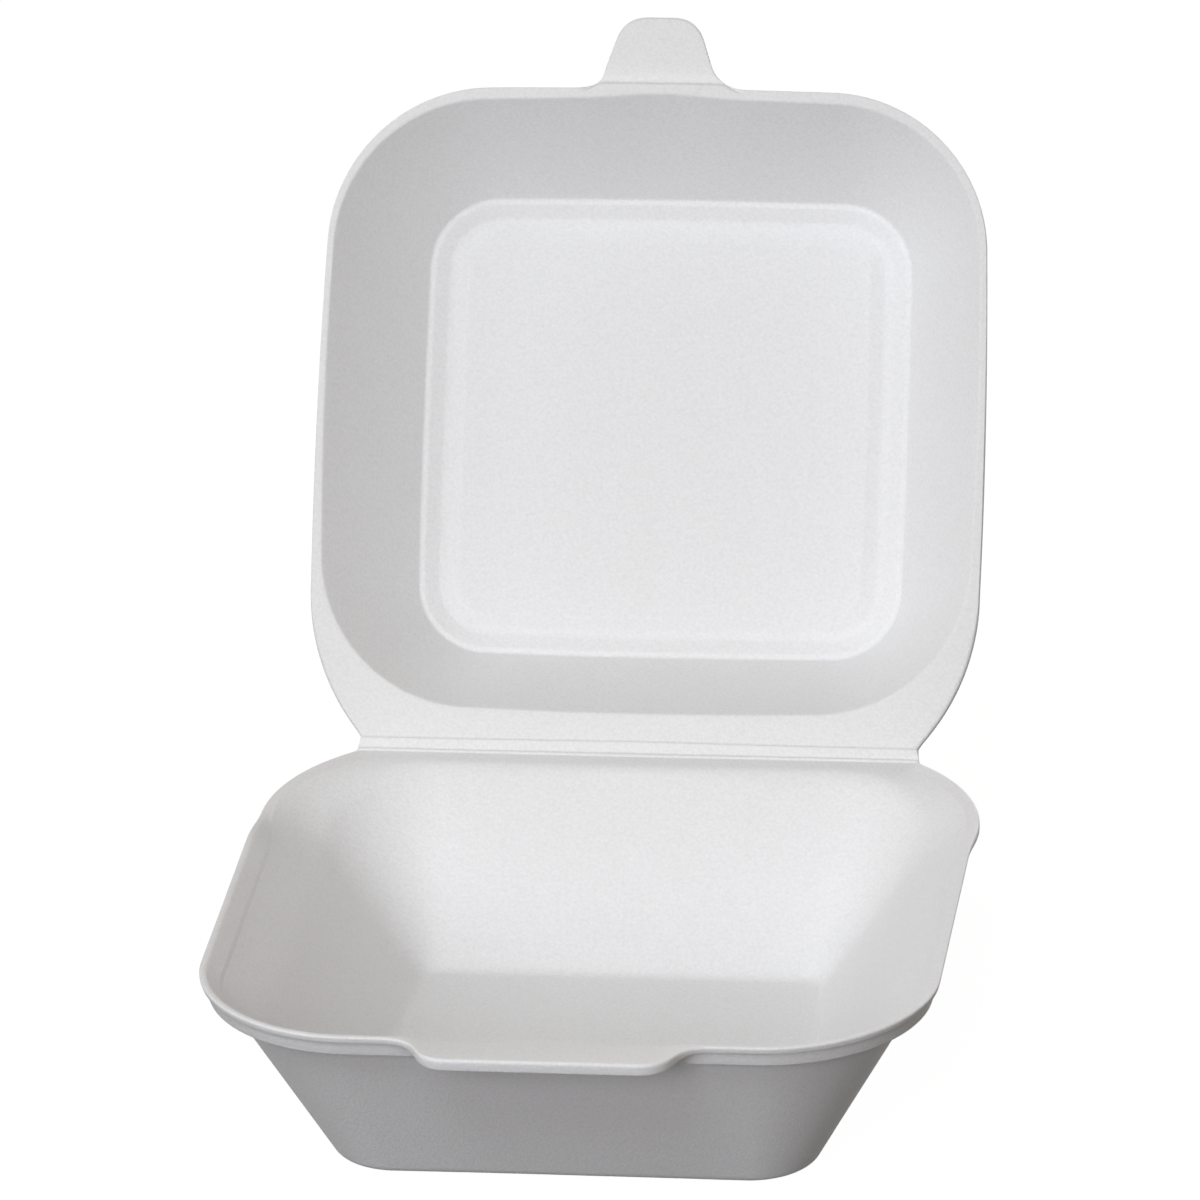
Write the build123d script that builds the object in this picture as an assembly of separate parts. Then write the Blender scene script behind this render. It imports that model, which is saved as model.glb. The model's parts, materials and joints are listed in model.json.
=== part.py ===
from build123d import *
import os
from math import atan, cos, hypot, pi, sin, sqrt, tan

# A hinged burger box, thermoformed from one sheet of white polystyrene foam: a tray and its lid, joined
# along the back by a pressed crease. Millimetres, Z up, X along the hinge, Y from the front to the hinge.
# The origin is the middle of the tray's flat bottom. The lid stands open, as the box is shown.

# The foam sheet and the gaps between the two halves
tray_wall = 3.2
tray_floor = 2.8
lid_wall = 1.6
rim_thickness = 2.0
crease_thickness = 1.0
clearance = 0.3
overrun = 1.0

# The tray's walls
bottom_width = 98.0
bottom_depth = 97.0
bottom_corner_radius = 15.0
bottom_fillet = 4.0
floor_fillet = 5.0
shoulder_gap = 3.2

# The tray's rim: a raised lip on three sides, a sunk ledge for the lid, and flat ears at the hinge
rim_width = 150.0
rim_front = 71.2
hinge_back = 74.2
lip_height = 41.0
lip_step = 3.0
lip_width = 3.6
rise_wall = 2.9
rim_corner_radius = 34.0
rear_flange = 6.6
ear_radius = 41.0
ear_reach = 33.0
lip_end_reach = 36.0
lip_runout = 9.0

# The tray's wide front tab, set in from the ends of the rim's round corners
tab_inset = 12.5
tab_taper = 5.0
tab_length = 10.0
tab_root_fillet = 5.0
tab_tip_fillet = 4.5

# The lid's rim
lid_half = 70.9
lid_taper = 1.5
lid_bow = 0.5
lid_front_bow = 1.0
lid_corner_radius = 34.0
lid_ear_radius = 47.0
lid_ear_reach = 34.0
lid_rim_width = 2.4
lid_rear_flange = 8.5
lid_mouth_radius = 31.5

# The lid's walls and the ringed panel at its top
lid_depth = 27.2
ledge_width = 104.0
ledge_length = 98.4
ledge_offset = 72.4
ledge_radius = 15.0
ledge_flat = 1.2
groove_depth = 1.0
groove_run = 3.0
panel_rise = 1.2
panel_run = 3.0
groove_floor = 1.5
lid_top_fillet = 2.5
lid_crown = 0.6
panel_crown = 0.3

# The lid's tongue, which steps up over the tray's lip
tongue_length = 15.8
tongue_root_half = 11.6
tongue_tip_half = 8.6
tongue_root_fillet = 3.0
tongue_tip_fillet = 5.0
boss_half = 15.0
boss_depth = 5.0
bulge_half = 10.0
bulge_depth = 1.3
bulge_fillet = 1.0

# The sections along the arc that rounds a wall into the flat at its foot
foot_shares = (0.0, 0.5, 1.0)

# The hinge
crease_half_width = 1.2
strip_width = 2.3
strip_press = 0.4
open_angle = 120.0

# Worked out from the sizes above
rim_half = rim_width / 2
ledge_z = lip_height - lip_step
hinge_z = ledge_z + clearance / 2
shoulder_width = rim_width - 2 * shoulder_gap
shoulder_front = -rim_front + shoulder_gap
tray_lean = (shoulder_width - bottom_width) / 2 / ledge_z
tray_wall_level = tray_wall * hypot(1, tray_lean)
shoulder_back = hinge_back - rear_flange + tray_wall_level
shoulder_depth = shoulder_back - shoulder_front
shoulder_middle = (shoulder_back + shoulder_front) / 2
shoulder_radius = rim_corner_radius - shoulder_gap
tab_root_half = rim_half - rim_corner_radius - tab_inset
tab_tip_half = tab_root_half - tab_taper
lid_length = rim_front + hinge_back - lip_width - clearance
lid_front_half = lid_half - lid_taper
lid_mouth_width = 2 * (lid_half - lid_rim_width)
lid_mouth_length = lid_length - lid_front_bow - lid_rim_width - lid_rear_flange
lid_mouth_offset = lid_rear_flange + lid_mouth_length / 2
lid_lean = (lid_mouth_width - ledge_width) / 2 / lid_depth
lid_wall_level = lid_wall * hypot(1, lid_lean)
lid_rim_z = clearance / 2
lid_top_z = lid_rim_z + lid_depth + groove_depth + lid_wall
tongue_z = lid_rim_z + lip_step + clearance


def mirrored_outline(right_side):
    """Face inside a right-hand run of edges, its mirror image and the line that closes them at the back."""
    left_side = [edge.mirror(Plane.YZ) for edge in right_side]
    back_right = right_side[0] @ 0
    back_left = Vector(-back_right.X, back_right.Y, back_right.Z)
    return make_face(right_side + left_side + [Line(back_left, back_right)])


def tray_outline(inset):
    """Outline of the tray's rim with its ears, drawn in by an inset on three sides."""
    half = rim_half - inset
    front = -rim_front + inset
    back = hinge_back - clearance / 2
    corner = rim_corner_radius - inset
    ear = ear_radius - inset
    ear_centre = Vector(rim_half - ear_radius, hinge_back - ear_reach)
    ear_end = Vector(ear_centre.X + sqrt(ear**2 - (back - ear_centre.Y) ** 2), back)
    ear_mid = ear_centre + Vector(ear, 0).rotate(Axis.Z, Vector(1, 0).get_angle(ear_end - ear_centre) / 2)
    ear_start = Vector(half, ear_centre.Y)
    corner_centre = Vector(half - corner, front + corner)
    corner_start = Vector(half, corner_centre.Y)
    corner_mid = corner_centre + Vector(corner, 0).rotate(Axis.Z, -45)
    corner_end = Vector(corner_centre.X, front)
    right_side = [
        ThreePointArc(ear_end, ear_mid, ear_start),
        Line(ear_start, corner_start),
        ThreePointArc(corner_start, corner_mid, corner_end),
        Line(corner_end, Vector(0, front)),
    ]
    return mirrored_outline(right_side)


def tray_section(height, inset):
    """Rounded rectangle through the tray's wall at a height, drawn in by an inset."""
    share = height / ledge_z
    width = bottom_width + (shoulder_width - bottom_width) * share - 2 * inset
    depth = bottom_depth + (shoulder_depth - bottom_depth) * share - 2 * inset
    radius = bottom_corner_radius + (shoulder_radius - bottom_corner_radius) * share - inset
    return Pos(0, shoulder_middle * share, height) * RectangleRounded(width, depth, radius)


def rounded_foot(radius, lean):
    """Rise and inset of each section along the arc that rounds a leaning wall into the flat at its foot."""
    turn = pi / 2 - atan(lean)
    rounding = []
    for share in foot_shares:
        rise = radius * (1 - cos(turn * share))
        drawn_in = lean * rise + radius * (tan(turn / 2) - sin(turn * share))
        rounding.append((rise, drawn_in))
    return rounding


def tray_block(bottom, top, inset, foot_radius):
    """Block inside the tray's leaning walls, from a flat bottom with a rounded foot up to a top."""
    rounding = rounded_foot(foot_radius, tray_lean)
    foot = [tray_section(bottom + rise, inset + drawn_in) for rise, drawn_in in rounding]
    return loft(foot + [tray_section(top, inset)], ruled=True)


def behind_lip_end():
    """Wedge behind the sloping ends of the raised lip, where the flat ears begin."""
    lip_end = hinge_back - lip_end_reach
    top = lip_height + overrun
    slope = lip_runout / lip_step
    profile = Polyline(
        (lip_end, ledge_z),
        (lip_end - (top - ledge_z) * slope, top),
        (hinge_back + overrun, top),
        (hinge_back + overrun, ledge_z),
        close=True,
    )
    return extrude(Plane.YZ * make_face(profile), rim_width, both=True)


def tab_outline():
    """Outline of the wide front tab, with its root sunk in the lip."""
    root = -rim_front + lip_width
    tip = -rim_front - tab_length
    profile = Polyline(
        (-tab_root_half, root),
        (-tab_root_half, -rim_front),
        (-tab_tip_half, tip),
        (tab_tip_half, tip),
        (tab_root_half, -rim_front),
        (tab_root_half, root),
        close=True,
    )
    return make_face(profile)


def lip_outline():
    """Outline of the lip and its front tab, with the tab's corners rounded."""
    outline = tray_outline(0) + tab_outline()
    tip = outline.vertices().group_by(Axis.Y)[0]
    outline = fillet(tip, tab_tip_fillet)
    root = outline.vertices().filter_by(lambda v: abs(abs(v.X) - tab_root_half) < clearance)
    return fillet(root, tab_root_fillet)


def make_tray():
    """Tray: leaning walls under a stepped rim, with the front tab and the flat ears at the hinge."""
    walls = tray_block(0, ledge_z, 0, bottom_fillet)
    cavity = tray_block(tray_floor, ledge_z + overrun, tray_wall_level, floor_fillet)

    ledge_bottom = Pos(0, 0, ledge_z - rim_thickness)
    lip_end = hinge_back - lip_end_reach
    ears = ledge_bottom * extrude(tray_outline(0), rim_thickness)
    ears = split(ears, Plane((0, lip_end, 0), z_dir=(0, 1, 0)), keep=Keep.TOP)
    band = ledge_bottom * extrude(tray_outline(lip_width - rise_wall), rim_thickness + lip_step)
    lip = Pos(0, 0, lip_height - rim_thickness) * extrude(lip_outline(), rim_thickness)
    well = Pos(0, 0, ledge_z) * extrude(tray_outline(lip_width), lip_step + overrun)
    raised = band + lip - well - behind_lip_end()

    under_crease = Pos(0, hinge_back, ledge_z - crease_thickness) * Box(
        rim_width, 2 * crease_half_width, rim_thickness, align=(Align.CENTER, Align.CENTER, Align.MAX)
    )
    return walls + ears + raised - cavity - under_crease


def crowned_panel(width, length, radius, crown, offset, height):
    """Rounded rectangle with slightly bowed sides, placed in front of the lid's hinge at a height."""
    side = width / 2 - crown
    end = length / 2 - crown
    edges = [
        ThreePointArc((-side, -end), (0, -length / 2), (side, -end)),
        ThreePointArc((side, -end), (width / 2, 0), (side, end)),
        ThreePointArc((side, end), (0, length / 2), (-side, end)),
        ThreePointArc((-side, end), (-width / 2, 0), (-side, -end)),
    ]
    panel = make_face(edges)
    return Pos(0, -offset, height) * fillet(panel.vertices(), radius)


def lid_section(height, inset):
    """Bowed rounded rectangle through the inside of the lid's wall at a height, let out by an inset."""
    share = (height - lid_rim_z) / lid_depth
    width = lid_mouth_width + (ledge_width - lid_mouth_width) * share + 2 * inset
    length = lid_mouth_length + (ledge_length - lid_mouth_length) * share + 2 * inset
    radius = lid_mouth_radius + (ledge_radius - lid_mouth_radius) * share + inset
    crown = lid_crown + (panel_crown - lid_crown) * share
    offset = lid_mouth_offset + (ledge_offset - lid_mouth_offset) * share
    return crowned_panel(width, length, radius, crown, offset, height)


def lid_block():
    """Block inside the outer face of the lid's walls, rounded at its top."""
    rounding = rounded_foot(lid_top_fillet, lid_lean)
    crown = [lid_section(lid_top_z - rise, lid_wall_level - drawn_in) for rise, drawn_in in rounding]
    return loft(crown + [lid_section(lid_rim_z, lid_wall_level)], ruled=True)


def ring_section(drawn_in, height):
    """Section of the ring at the lid's top, drawn in from the edge of the ledge."""
    width = ledge_width - 2 * drawn_in
    length = ledge_length - 2 * drawn_in
    return crowned_panel(width, length, ledge_radius - drawn_in, panel_crown, ledge_offset, height)


def lid_outline():
    """Outline of the lid's rim: bowed sides, round front corners and ears that run in to the hinge."""
    back = -clearance / 2
    ear_centre = Vector(lid_half - lid_ear_radius, -lid_ear_reach)
    ear_end = Vector(ear_centre.X + sqrt(lid_ear_radius**2 - (back - ear_centre.Y) ** 2), back)
    half_turn = Vector(1, 0).get_angle(ear_end - ear_centre) / 2
    ear_mid = ear_centre + Vector(lid_ear_radius, 0).rotate(Axis.Z, half_turn)
    ear_start = Vector(lid_half, -lid_ear_reach)
    corner = Vector(lid_front_half, -lid_length + lid_front_bow)
    side_mid = (ear_start + corner) / 2 + Vector(lid_bow, 0)
    front_mid = Vector(0, -lid_length)
    other_corner = Vector(-corner.X, corner.Y)
    sides = [
        ThreePointArc(ear_end, ear_mid, ear_start),
        ThreePointArc(ear_start, side_mid, corner),
    ]
    mirrored = [edge.mirror(Plane.YZ) for edge in sides]
    front = ThreePointArc(corner, front_mid, other_corner)
    back_line = Line(Vector(-ear_end.X, ear_end.Y), ear_end)
    outline = make_face(sides + mirrored + [front, back_line])
    return fillet(outline.vertices().group_by(Axis.Y)[0], lid_corner_radius)


def make_tongue():
    """Tongue at the lid's front, on a boss that carries it up over the tray's lip."""
    front = -lid_length
    root = front + boss_depth
    tip = front - tongue_length
    boss_height = tongue_z + rim_thickness - lid_rim_z
    boss = Pos(0, root, lid_rim_z) * Box(
        2 * boss_half, boss_depth, boss_height, align=(Align.CENTER, Align.MAX, Align.MIN)
    )
    profile = Polyline(
        (-boss_half, root),
        (-boss_half, front),
        (-tongue_root_half, front),
        (-tongue_tip_half, tip),
        (tongue_tip_half, tip),
        (tongue_root_half, front),
        (boss_half, front),
        (boss_half, root),
        close=True,
    )
    outline = make_face(profile)
    outline = fillet(outline.vertices().group_by(Axis.Y)[0], tongue_tip_fillet)
    flare = outline.vertices().filter_by(lambda v: abs(abs(v.X) - tongue_root_half) < clearance)
    outline = fillet(flare, tongue_root_fillet)
    return boss + Pos(0, 0, tongue_z) * extrude(outline, rim_thickness)


def make_closed_lid():
    """Lid as it lies on the tray, with the hinge axis along X through the origin."""
    ledge_top = lid_rim_z + lid_depth
    groove_top = ledge_top + groove_depth
    walls = lid_block()
    rim = Pos(0, 0, lid_rim_z) * extrude(lid_outline(), rim_thickness)

    cavity = loft([lid_section(lid_rim_z - overrun, 0), lid_section(ledge_top, 0)], ruled=True)
    groove_in = ledge_flat + groove_run
    groove = loft([ring_section(ledge_flat, ledge_top), ring_section(groove_in, groove_top)], ruled=True)
    panel_in = groove_in + groove_floor
    panel = loft(
        [ring_section(panel_in, groove_top), ring_section(panel_in + panel_run, groove_top - panel_rise)],
        ruled=True,
    )
    pocket = loft(
        [
            ring_section(panel_in + lid_wall, lid_top_z + overrun),
            ring_section(panel_in + panel_run + lid_wall, lid_top_z - panel_rise),
        ],
        ruled=True,
    )
    bulge = Pos(0, -lid_length + lid_rim_width + lid_front_bow - bulge_depth, lid_rim_z - overrun) * Box(
        2 * bulge_half,
        boss_depth,
        overrun + lip_step,
        align=(Align.CENTER, Align.MIN, Align.MIN),
    )
    bulge = fillet(bulge.edges().filter_by(Axis.Z), bulge_fillet)

    strip = Pos(0, 0, lid_rim_z) * Box(
        rim_width, 2 * strip_width, strip_press, align=(Align.CENTER, Align.CENTER, Align.MIN)
    )
    over_crease = Pos(0, 0, lid_rim_z + strip_press + crease_thickness) * Box(
        rim_width, 2 * strip_width, rim_thickness, align=(Align.CENTER, Align.CENTER, Align.MIN)
    )
    shell = walls + rim + make_tongue() - (cavity + groove - panel) - pocket - bulge
    return shell - strip - over_crease


def make_lid():
    """Lid swung open about the hinge and set in the tray's frame."""
    return Pos(0, hinge_back, hinge_z) * Rot(-open_angle, 0, 0) * make_closed_lid()


os.makedirs("parts", exist_ok=True)
export_step(make_tray(), "parts/tray.step")
export_step(make_lid(), "parts/lid.step")
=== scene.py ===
"""Looks of a hinged foam burger box: one moulded sheet of white foam with a tray, a lid and a live hinge."""

import json
import logging
import math
from dataclasses import dataclass, field
from enum import Enum
from typing import Any

import bpy
import numpy as np
from mathutils import Matrix, Vector


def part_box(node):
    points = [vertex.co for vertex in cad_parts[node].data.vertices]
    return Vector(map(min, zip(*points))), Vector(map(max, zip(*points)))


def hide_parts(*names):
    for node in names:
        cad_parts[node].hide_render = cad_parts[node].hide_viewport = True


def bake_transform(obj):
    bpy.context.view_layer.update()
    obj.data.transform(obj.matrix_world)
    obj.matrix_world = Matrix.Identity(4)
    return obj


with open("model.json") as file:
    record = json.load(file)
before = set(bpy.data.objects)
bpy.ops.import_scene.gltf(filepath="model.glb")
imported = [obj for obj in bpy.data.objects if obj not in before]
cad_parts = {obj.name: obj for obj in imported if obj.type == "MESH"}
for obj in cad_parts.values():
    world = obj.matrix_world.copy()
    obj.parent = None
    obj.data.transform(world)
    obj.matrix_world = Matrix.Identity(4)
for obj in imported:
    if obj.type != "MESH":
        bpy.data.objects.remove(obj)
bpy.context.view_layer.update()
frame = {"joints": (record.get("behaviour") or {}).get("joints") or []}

LOG = logging.getLogger("foam_box")

# Every size below is in millimetres unless its comment says otherwise, and this turns it to metres.
MM = 0.001
# Gap between the closed lid's rim and the tray's lip.
RIM_CLEARANCE = 0.3
# Points and steps along the stretches of a ring.
FRONT_STEPS = 128
BACK_POINTS = 61
CORNER_POINTS = 27
# Turns a plan's right-hand side into its left-hand one.
MIRROR = np.array([-1.0, 1.0])

Rows = np.ndarray
Socket = bpy.types.NodeSocket


class Stretch(Enum):
    """Stretches of a ring, in order round the box, anticlockwise from above."""

    FRONT = 0
    FRONT_RIGHT = 1
    RIGHT = 2
    BACK_RIGHT = 3
    BACK = 4
    BACK_LEFT = 5
    LEFT = 6
    FRONT_LEFT = 7


def smooth_step(values: np.ndarray) -> np.ndarray:
    """Soft ramp from 0 to 1 over the unit range.

    Args:
        values: Places along the ramp, below 0 before it and above 1 after it.

    Returns:
        The ramp's height at each place.
    """
    t = np.clip(values, 0.0, 1.0)
    return t * t * (3.0 - 2.0 * t)


def held_above(values: np.ndarray, least: float, ease: float) -> np.ndarray:
    """Values kept above a least value, with a soft bend where they meet it.

    Args:
        values: The values.
        least: The least value.
        ease: How far about the least value the bend reaches.

    Returns:
        The values, none of them below the least one.
    """
    over = values - least
    return least + (over + np.sqrt(over**2 + ease**2)) / 2


def rounded_path(points: list[tuple[float, float]], cuts: list[float], steps: int = 24) -> np.ndarray:
    """Path through corner points, with each inner corner cut back and rounded.

    Args:
        points: The path's ends and corners.
        cuts: How far each inner corner is cut back along its two sides.
        steps: Points on each rounded corner.

    Returns:
        The path's points, one row each.
    """
    corners = np.array(points, float)
    path = [corners[0]]
    share = np.linspace(0.0, 1.0, steps)[:, None]
    for before, here, after, cut in zip(corners, corners[1:], corners[2:], cuts):
        start = here + (before - here) / np.linalg.norm(before - here) * cut
        end = here + (after - here) / np.linalg.norm(after - here) * cut
        path.extend((1 - share) ** 2 * start + 2 * share * (1 - share) * here + share**2 * end)
    path.append(corners[-1])
    return np.array(path)


def mirrored_path(right_half: np.ndarray, count: int) -> np.ndarray:
    """Path and its mirror image, spaced evenly along its length.

    Args:
        right_half: Points from the right-hand end to the middle line.
        count: Steps from the left-hand end to the right-hand end.

    Returns:
        count + 1 points, from left to right.
    """
    left_half = right_half * MIRROR
    whole = np.vstack([left_half, right_half[::-1][1:]])
    along = np.concatenate([[0.0], np.cumsum(np.linalg.norm(np.diff(whole, axis=0), axis=1))])
    places = np.linspace(0.0, along[-1], count + 1)
    return np.column_stack([np.interp(places, along, whole[:, axis]) for axis in range(2)])


def graded_shares(knots: list[float], counts: list[int]) -> np.ndarray:
    """Shares from 0 to 1 with a count of steps of its own between each two knots.

    Args:
        knots: Inner shares at which the spacing changes.
        counts: Steps in each span, one more than the knots.

    Returns:
        The shares, both ends among them.
    """
    ends = [0.0, *knots, 1.0]
    spans = [np.linspace(a, b, n, endpoint=False) for a, b, n in zip(ends, ends[1:], counts)]
    return np.concatenate([*spans, [1.0]])


@dataclass
class RingLayout:
    """Shares of the points along each stretch, alike on every ring of a shell so that the rings match."""

    front: np.ndarray
    side: np.ndarray
    back: np.ndarray
    corner: np.ndarray

    def shares(self, stretch: Stretch) -> np.ndarray:
        """Shares along a stretch, its first point among them and its last left to the next stretch.

        Args:
            stretch: The stretch asked for.

        Returns:
            Shares from 0 up to, but without, 1.
        """
        knots = {
            Stretch.FRONT: self.front,
            Stretch.RIGHT: self.side,
            Stretch.LEFT: 1.0 - self.side[::-1],
            Stretch.BACK: self.back,
        }.get(stretch, self.corner)
        return knots[:-1]

    def start(self, stretch: Stretch) -> int:
        """Index of a stretch's first point."""
        return sum(len(self.shares(other)) for other in Stretch if other.value < stretch.value)

    def span(self, stretch: Stretch) -> slice:
        """Indices of a stretch's points."""
        first = self.start(stretch)
        return slice(first, first + len(self.shares(stretch)))

    @property
    def count(self) -> int:
        """Points on a ring."""
        return sum(len(self.shares(stretch)) for stretch in Stretch)

    @property
    def hinge_span(self) -> slice:
        """Indices of the points along the hinge, both ends among them."""
        return slice(self.start(Stretch.BACK), self.start(Stretch.BACK_LEFT) + 1)

    def rounded_rectangle(
        self, half_width: float, front: float, back: float, radius: float, bow: float = 0.0
    ) -> np.ndarray:
        """Rounded rectangle with slightly bowed sides.

        Args:
            half_width: Half its width.
            front: Y of its front side.
            back: Y of its back side.
            radius: Radius of its corners.
            bow: How far the middle of each side stands proud of its ends.

        Returns:
            Plan points, one row each.
        """
        side, low, high = half_width - radius, front + radius, back - radius
        rows: list[np.ndarray] = []
        lines = {
            Stretch.FRONT: ((-side, front), (side, front), (0.0, -bow)),
            Stretch.RIGHT: ((half_width, low), (half_width, high), (bow, 0.0)),
            Stretch.BACK: ((side, back), (-side, back), (0.0, bow)),
            Stretch.LEFT: ((-half_width, high), (-half_width, low), (-bow, 0.0)),
        }
        corners = {
            Stretch.FRONT_RIGHT: ((side, low), -90.0),
            Stretch.BACK_RIGHT: ((side, high), 0.0),
            Stretch.BACK_LEFT: ((-side, high), 90.0),
            Stretch.FRONT_LEFT: ((-side, low), 180.0),
        }
        for stretch in Stretch:
            share = self.shares(stretch)[:, None]
            if stretch in lines:
                start, end, proud = (np.array(item) for item in lines[stretch])
                rows.append(start + (end - start) * share + proud * 4.0 * share * (1.0 - share))
            else:
                centre, first = corners[stretch]
                turn = np.radians(first + 90.0 * share)
                rows.append(np.array(centre) + radius * np.hstack([np.cos(turn), np.sin(turn)]))
        return np.vstack(rows)


@dataclass(frozen=True)
class EarArc:
    """Round ears beside the hinge, described on the right-hand side and mirrored for the left."""

    centre: tuple[float, float]
    radius: float
    back: float
    hinge_half: float
    hinge_ease: float

    def points(self, share: np.ndarray) -> np.ndarray:
        """Right-hand ear.

        Args:
            share: Places along it, from 0 at its root to 1 at the hinge.

        Returns:
            Plan points, one row each.
        """
        turn = math.asin((self.back - self.centre[1]) / self.radius)
        ways = np.column_stack([np.cos(turn * share), np.sin(turn * share)])
        arc = np.array(self.centre) + self.radius * ways
        arc[:, 0] = held_above(arc[:, 0], self.hinge_half, self.hinge_ease)
        return arc

    def shape(self, plan: np.ndarray, layout: RingLayout) -> None:
        """Sets both ears and the hinge line between them into a plan.

        Args:
            plan: The plan, which is changed.
            layout: Its ring layout.
        """
        end = self.points(np.ones(1))[0, 0]
        plan[layout.span(Stretch.BACK_RIGHT)] = self.points(layout.shares(Stretch.BACK_RIGHT))
        plan[layout.span(Stretch.BACK), 0] = end * (1.0 - 2.0 * layout.shares(Stretch.BACK))
        plan[layout.span(Stretch.BACK_LEFT)] = MIRROR * self.points(1.0 - layout.shares(Stretch.BACK_LEFT))


def raised(plan: np.ndarray, height: float | np.ndarray) -> Rows:
    """Ring of plan points set at a height, the same all round or one for each point."""
    return np.column_stack([plan, np.broadcast_to(height, len(plan))])


def shrunk(ring: Rows, share: float) -> Rows:
    """Ring drawn in towards its own middle, to a share of its size."""
    middle = ring.mean(axis=0)
    return middle + (ring - middle) * share


@dataclass
class Station:
    """One corner of the shell's section, all the way round: its ring, its rounding and the run after it."""

    ring: Rows
    radius: float | np.ndarray = 0.0
    steps: int = 4
    run: tuple[float, ...] = ()


# Shares along the run from one station to the next at which rows of points lie.
LONG_RUN = (0.02, 0.1, 0.25, 0.42, 0.6, 0.78, 0.92, 0.985)
FLAT_RUN = (0.3, 0.6, 0.85, 0.96)
SHORT_RUN = (0.12, 0.5, 0.88)
MIDDLE_RUN = (0.5,)
# Size of the innermost ring beside a pole, as a share of the ring round it.
POLE_SHARE = 0.06
# Most of a run that one rounding may take, and the least cut of a rounding as a share of its radius.
LONGEST_CUT_SHARE = 0.46
LEAST_CUT_SHARE = 0.3


@dataclass
class ShellGrid:
    """Rows of points lofted through stations, with the first and last row of each station's rounding."""

    rows: Rows
    first: list[int]
    last: list[int]


def loft(stations: list[Station]) -> ShellGrid:
    """Lofts a shell's rows through its stations and rounds each of them.

    Args:
        stations: The stations from the middle of the inside to the middle of the outside.

    Returns:
        The rows and where each station's rounding begins and ends.
    """
    rings = [station.ring for station in stations]
    starts, ends = list(rings), list(rings)
    for i in range(1, len(stations) - 1):
        back, ahead = rings[i - 1] - rings[i], rings[i + 1] - rings[i]
        back_length = np.linalg.norm(back, axis=1, keepdims=True)
        ahead_length = np.linalg.norm(ahead, axis=1, keepdims=True)
        back, ahead = back / back_length, ahead / ahead_length
        cosine = np.clip(-(back * ahead).sum(axis=1, keepdims=True), -1.0, 1.0)
        radius = np.broadcast_to(stations[i].radius, len(rings[i]))[:, None]
        cut = radius * np.maximum(np.tan(np.arccos(cosine) / 2), LEAST_CUT_SHARE)
        cut = np.minimum(cut, LONGEST_CUT_SHARE * np.minimum(back_length, ahead_length))
        starts[i], ends[i] = rings[i] + back * cut, rings[i] + ahead * cut
    rows: list[Rows] = []
    first: list[int] = []
    last: list[int] = []
    for i, station in enumerate(stations):
        if i:
            run = stations[i - 1].run
            rows.extend(ends[i - 1] + (starts[i] - ends[i - 1]) * share for share in run)
        first.append(len(rows))
        if 0 < i < len(stations) - 1:
            for t in np.linspace(0.0, 1.0, station.steps + 1):
                rows.append((1 - t) ** 2 * starts[i] + 2 * t * (1 - t) * rings[i] + t**2 * ends[i])
        else:
            rows.append(rings[i])
        last.append(len(rows) - 1)
    return ShellGrid(np.array(rows), first, last)


@dataclass
class HingeLoop:
    """Loop of points round a half's edge, where the hinge's web grows out of it, with their depth shares."""

    indices: np.ndarray
    points: Rows
    depth: np.ndarray


@dataclass
class Moulding:
    """Points and faces of the whole sheet, gathered half by half."""

    points: list[Rows] = field(default_factory=list)
    faces: list[tuple[int, ...]] = field(default_factory=list)
    count: int = 0

    def add_points(self, points: Rows) -> int:
        """Adds points.

        Args:
            points: One row each.

        Returns:
            Index of the first of them.
        """
        first = self.count
        self.points.append(points)
        self.count += len(points)
        return first

    def add_shell(self, grid: ShellGrid, flipped: bool, gap: tuple[slice, slice]) -> int:
        """Adds a lofted shell, closed at its two poles and open along the hinge.

        Args:
            grid: The shell's rows.
            flipped: True where the inside of the shell faces down.
            gap: Rows and columns of the faces left out for the hinge.

        Returns:
            Index of the shell's first point.
        """
        row_count, ring_count = grid.rows.shape[:2]
        first = self.add_points(grid.rows.reshape(-1, 3))
        gap_rows, gap_columns = range(*gap[0].indices(row_count)), range(*gap[1].indices(ring_count))
        turn = -1 if flipped else 1

        def corner(row: int, column: int) -> int:
            """Index of a grid point, counted round the ring."""
            return first + row * ring_count + column % ring_count

        for row in range(row_count - 1):
            for column in range(ring_count):
                if row not in gap_rows or column not in gap_columns:
                    face = (
                        corner(row, column),
                        corner(row + 1, column),
                        corner(row + 1, column + 1),
                        corner(row, column + 1),
                    )
                    self.faces.append(face[::turn])
        for row, way in ((0, turn), (row_count - 1, -turn)):
            pole = self.add_points(grid.rows[row].mean(axis=0, keepdims=True))
            for column in range(ring_count):
                self.faces.append((pole, corner(row, column), corner(row, column + 1))[::way])
        return first

    def add_web(self, tray: HingeLoop, lid: HingeLoop, between: list[Rows]) -> None:
        """Joins the two halves along the hinge by rows of new points.

        Args:
            tray: The tray's loop.
            lid: The lid's loop.
            between: The loops between them.
        """
        size = len(tray.indices)
        loops = [tray.indices]
        for points in between:
            loops.append(self.add_points(points) + np.arange(size))
        loops.append(lid.indices)
        for near, far in zip(loops, loops[1:]):
            for m in range(size):
                n = (m + 1) % size
                self.faces.append((int(near[m]), int(far[m]), int(far[n]), int(near[n])))

    def mesh(self, name: str) -> bpy.types.Mesh:
        """Mesh of all that was added, in metres, with smooth faces.

        Args:
            name: The mesh's name.

        Returns:
            The mesh.
        """
        mesh = bpy.data.meshes.new(name)
        mesh.from_pydata((np.vstack(self.points) * MM).tolist(), [], self.faces)
        mesh.validate()
        mesh.shade_smooth()
        return mesh


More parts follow.
